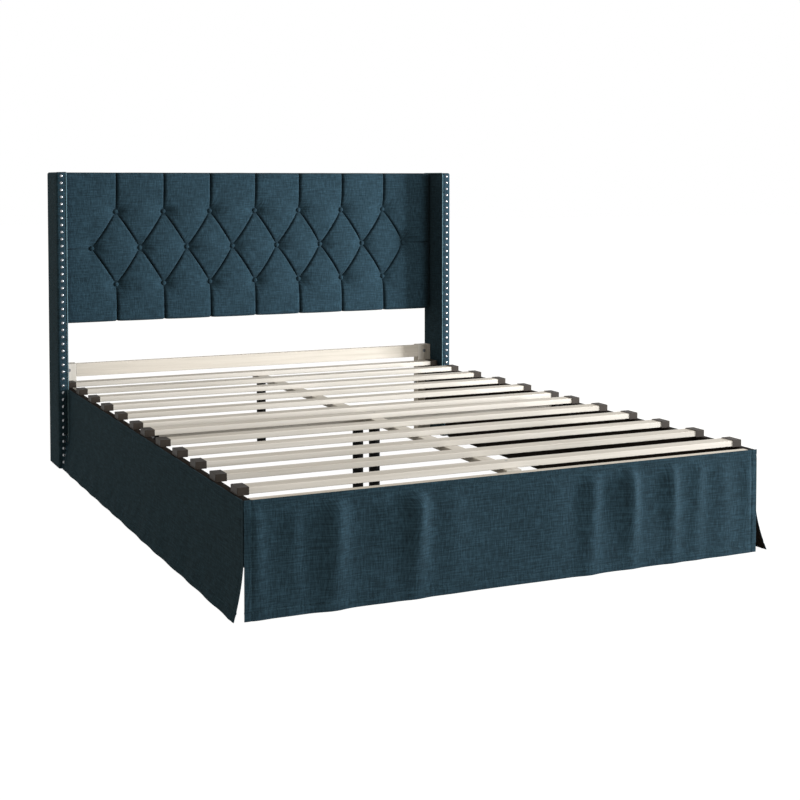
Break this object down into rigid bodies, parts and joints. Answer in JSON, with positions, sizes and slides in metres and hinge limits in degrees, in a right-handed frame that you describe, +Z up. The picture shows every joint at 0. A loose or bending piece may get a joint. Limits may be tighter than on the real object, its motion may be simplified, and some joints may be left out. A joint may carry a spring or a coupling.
{
  "type": "wingback bed",
  "caption": "Queen-size bed frame with a diamond-tufted headboard between two nail-trimmed wings, a slatted base with capped slats and a hanging floor-length skirt.",
  "frame": {"origin": "on the floor under the middle of the bed's overall box", "axes": "+Z up, +Y from the foot towards the headboard, +X to the right seen from the foot"},
  "size_m": [1.63, 2.2099, 1.106],
  "materials": {
    "teal_cloth": "matt woven linen look over thin foam",
    "lining_cloth": "matt non-woven lining",
    "slat_wood": "pale planed poplar, unvarnished",
    "frame_wood": "planed softwood",
    "panel_board": "raw board",
    "cap_plastic": "taupe moulded plastic",
    "glide_plastic": "black moulded plastic",
    "black_steel": "black powder coat",
    "zinc_steel": "zinc plated",
    "nickel": "polished nickel"
  },
  "bodies": {
    "root": {"wing_board_left": "panel_board", "wing_cover_left": "teal_cloth", "wing_nails_left": "nickel", "headboard_stile_left": "frame_wood", "head_post_left": "slat_wood", "side_rail_head_half_left": "frame_wood", "rail_cover_head_half_left": "lining_cloth", "side_rail_foot_half_left": "frame_wood", "rail_cover_foot_half_left": "lining_cloth", "slat_caps_left": "cap_plastic", "skirt_side_left": "teal_cloth", "wing_board_right": "panel_board", "wing_cover_right": "teal_cloth", "wing_nails_right": "nickel", "headboard_stile_right": "frame_wood", "head_post_right": "slat_wood", "side_rail_head_half_right": "frame_wood", "rail_cover_head_half_right": "lining_cloth", "side_rail_foot_half_right": "frame_wood", "rail_cover_foot_half_right": "lining_cloth", "slat_caps_right": "cap_plastic", "skirt_side_right": "teal_cloth", "wing_glides": "glide_plastic", "headboard_top_rail": "frame_wood", "headboard_bottom_rail": "frame_wood", "headboard_plywood": "panel_board", "tufted_pad": "teal_cloth", "tuft_buttons": "teal_cloth", "headboard_back_cloth": "lining_cloth", "head_crossbar": "slat_wood", "headboard_bolts": "zinc_steel", "foot_rail": "frame_wood", "foot_rail_facing": "teal_cloth", "bed_bolts": "zinc_steel", "barrel_nuts": "zinc_steel", "corner_brackets": "black_steel", "rail_joint_plates": "black_steel", "fitting_bolts": "zinc_steel", "cross_beam": "slat_wood", "centre_rail_head_half": "slat_wood", "centre_rail_foot_half": "slat_wood", "centre_rail_bracket": "black_steel", "centre_leg_head": "black_steel", "centre_leg_middle_head_side": "black_steel", "centre_leg_middle_foot_side": "black_steel", "leg_glides": "glide_plastic", "wood_screws": "zinc_steel", "slat_01": "slat_wood", "slat_02": "slat_wood", "slat_03": "slat_wood", "slat_04": "slat_wood", "slat_05": "slat_wood", "slat_06": "slat_wood", "slat_07": "slat_wood", "slat_08": "slat_wood", "slat_09": "slat_wood", "slat_10": "slat_wood", "slat_11": "slat_wood", "slat_12": "slat_wood", "skirt_foot": "teal_cloth"}
  },
  "joints": []
}
